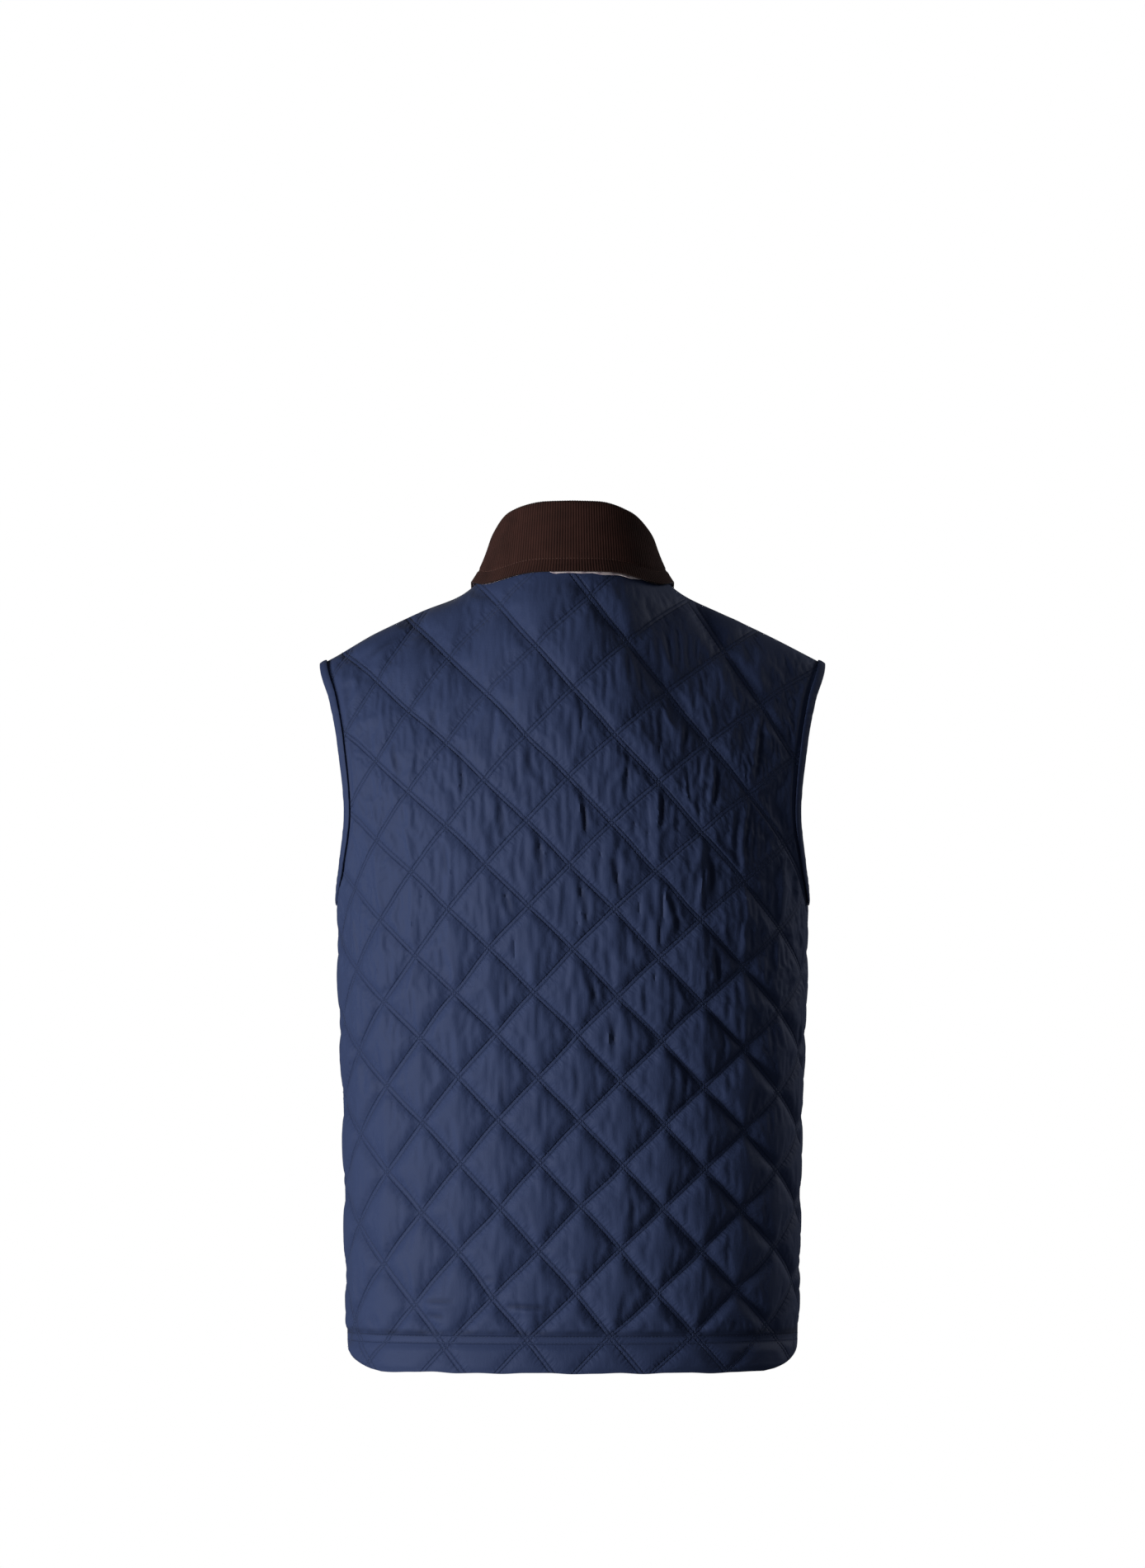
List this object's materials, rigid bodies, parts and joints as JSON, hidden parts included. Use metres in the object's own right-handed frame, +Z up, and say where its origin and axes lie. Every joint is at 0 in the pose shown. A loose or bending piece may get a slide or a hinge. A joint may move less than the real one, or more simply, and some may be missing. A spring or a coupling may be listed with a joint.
{
  "type": "quilted vest",
  "caption": "Sleeveless diamond-quilted vest with a turn-down corduroy collar, bound armholes and a snap front, hollow as worn.",
  "frame": {"origin": "middle of the neck, level with the base of the neck, where the wearer's shoulders carry the vest", "axes": "+Z up, +Y towards the back, so that the front faces -Y, and +X towards the wearer's left"},
  "size_m": [0.431, 0.2614, 0.7371],
  "materials": {
    "quilt": "navy microfibre, diamond quilted over thin wadding, soft sheen",
    "binding": "navy plain weave, folded over the edge",
    "corduroy": "dark brown fine-wale corduroy, matte pile",
    "under_collar": "pale plain weave with darker stripes, matte",
    "snap": "dark gunmetal, satin"
  },
  "bodies": {
    "root": {"back": "quilt", "front_left": "quilt", "front_right": "quilt", "armhole_binding_left": "binding", "armhole_binding_right": "binding", "top_collar": "corduroy", "under_collar": "under_collar", "snap_1": "snap", "snap_2": "snap", "snap_3": "snap", "snap_4": "snap", "snap_5": "snap"}
  },
  "joints": []
}
